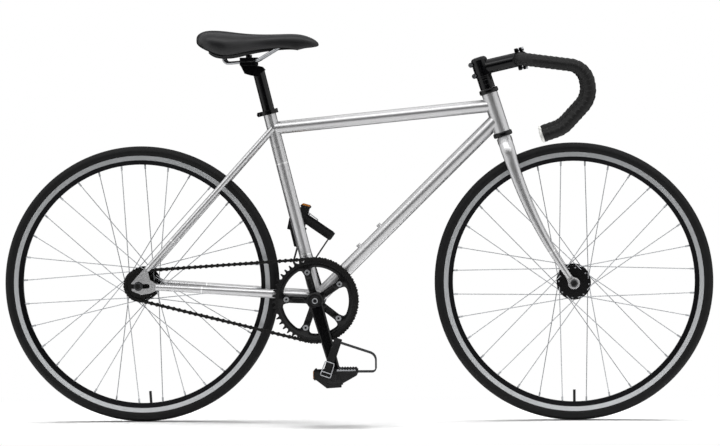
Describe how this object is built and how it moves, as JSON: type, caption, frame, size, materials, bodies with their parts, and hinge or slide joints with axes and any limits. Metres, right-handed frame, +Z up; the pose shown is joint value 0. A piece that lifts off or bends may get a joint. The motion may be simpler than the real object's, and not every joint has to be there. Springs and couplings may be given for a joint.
{
  "type": "fixed gear bike",
  "caption": "Small fixed gear road bicycle with drop bars, toe clip pedals, crossed spoke wheels and a slim padded saddle.",
  "frame": {"origin": "on the ground midway between the wheel axles", "axes": "+X forward, +Y to the rider's left, +Z up"},
  "size_m": [1.5898, 0.4178, 0.8784],
  "materials": {
    "frame_paint": "silver paint",
    "black_alloy": "black anodised",
    "black_steel": "black",
    "bright_steel": "bright",
    "rim_alloy": "black with machined brake track",
    "tyre_rubber": "matt",
    "tube_rubber": "matt",
    "saddle_skin": "soft black",
    "black_plastic": "matt",
    "tape": "wrapped",
    "strap": "woven",
    "plug_alloy": "satin"
  },
  "bodies": {
    "frame": {"head_tube": "frame_paint", "top_tube": "frame_paint", "down_tube": "frame_paint", "seat_tube": "frame_paint", "bottom_bracket_shell": "frame_paint", "chain_stays": "frame_paint", "seat_stays": "frame_paint", "dropouts": "frame_paint", "stay_bridges": "frame_paint", "bottle_bosses": "frame_paint", "seat_collar": "black_alloy", "headset_cups": "black_alloy", "bottom_bracket_cups": "bright_steel", "rear_axle": "bright_steel", "rear_axle_nuts": "black_steel", "chain_inner_links": "black_steel", "chain_outer_links": "black_steel"},
    "rear_wheel": {"rear_tyre": "tyre_rubber", "rear_inner_tube": "tube_rubber", "rear_rim": "rim_alloy", "rear_spokes": "bright_steel", "rear_hub": "black_alloy", "cog": "black_steel", "lockring": "black_steel"},
    "crankset": {"bottom_bracket_spindle": "bright_steel", "right_crank_arm": "black_alloy", "left_crank_arm": "black_alloy", "chainring": "black_alloy", "chainring_bolts": "bright_steel", "crank_bolts": "black_steel", "pedal_axles": "bright_steel"},
    "right_pedal": {"right_pedal_body": "black_plastic", "right_toe_clip": "black_steel", "right_toe_strap": "strap"},
    "left_pedal": {"left_pedal_body": "black_plastic", "left_toe_clip": "black_steel", "left_toe_strap": "strap"},
    "steering": {"fork_crown_steerer": "frame_paint", "fork_blades": "frame_paint", "fork_ends": "frame_paint", "headset_spacers": "black_alloy", "headset_top_cap": "black_alloy", "stem": "black_alloy", "stem_faceplate": "black_alloy", "stem_bolts": "black_steel", "handlebar": "black_alloy", "bar_tape": "tape", "bar_plugs": "plug_alloy", "front_axle": "bright_steel", "front_axle_nuts": "black_steel"},
    "front_wheel": {"front_tyre": "tyre_rubber", "front_inner_tube": "tube_rubber", "front_rim": "rim_alloy", "front_spokes": "bright_steel", "front_hub": "black_alloy"},
    "seat": {"seatpost": "black_alloy", "saddle_clamp": "black_alloy", "saddle_cover": "saddle_skin", "saddle_base": "black_plastic", "saddle_rails": "bright_steel"}
  },
  "joints": [
    {"name": "rear_wheel_spin", "type": "hinge", "parent": "frame", "child": "rear_wheel", "pos_m": [-0.4845, 0, 0.31046], "axis": [0, 1, 0], "continuous": true, "deforming": ["chain_inner_links", "chain_outer_links"]},
    {"name": "crank_spin", "type": "hinge", "parent": "frame", "child": "crankset", "pos_m": [-0.09071, 0, 0.27496], "axis": [0, 1, 0], "continuous": true},
    {"name": "right_pedal_spin", "type": "hinge", "parent": "crankset", "child": "right_pedal", "pos_m": [-0.04469, 0, 0.11235], "axis": [0, 1, 0], "continuous": true},
    {"name": "left_pedal_spin", "type": "hinge", "parent": "crankset", "child": "left_pedal", "pos_m": [-0.13672, 0, 0.43758], "axis": [0, 1, 0], "continuous": true},
    {"name": "steer", "type": "hinge", "parent": "frame", "child": "steering", "pos_m": [0.33095, 0, 0.63576], "axis": [-0.3024, 0, 0.9532], "range_deg": [-75, 75]},
    {"name": "front_wheel_spin", "type": "hinge", "parent": "steering", "child": "front_wheel", "pos_m": [0.4845, 0, 0.31046], "axis": [0, 1, 0], "continuous": true},
    {"name": "seat_height", "type": "slide", "parent": "frame", "child": "seat", "axis": [-0.2368, 0, 0.9715], "range_m": [-0.07, 0.06]}
  ],
  "couplings": [
    {"joint": "crank_spin", "follows": "rear_wheel_spin", "ratio": 0.34783}
  ]
}
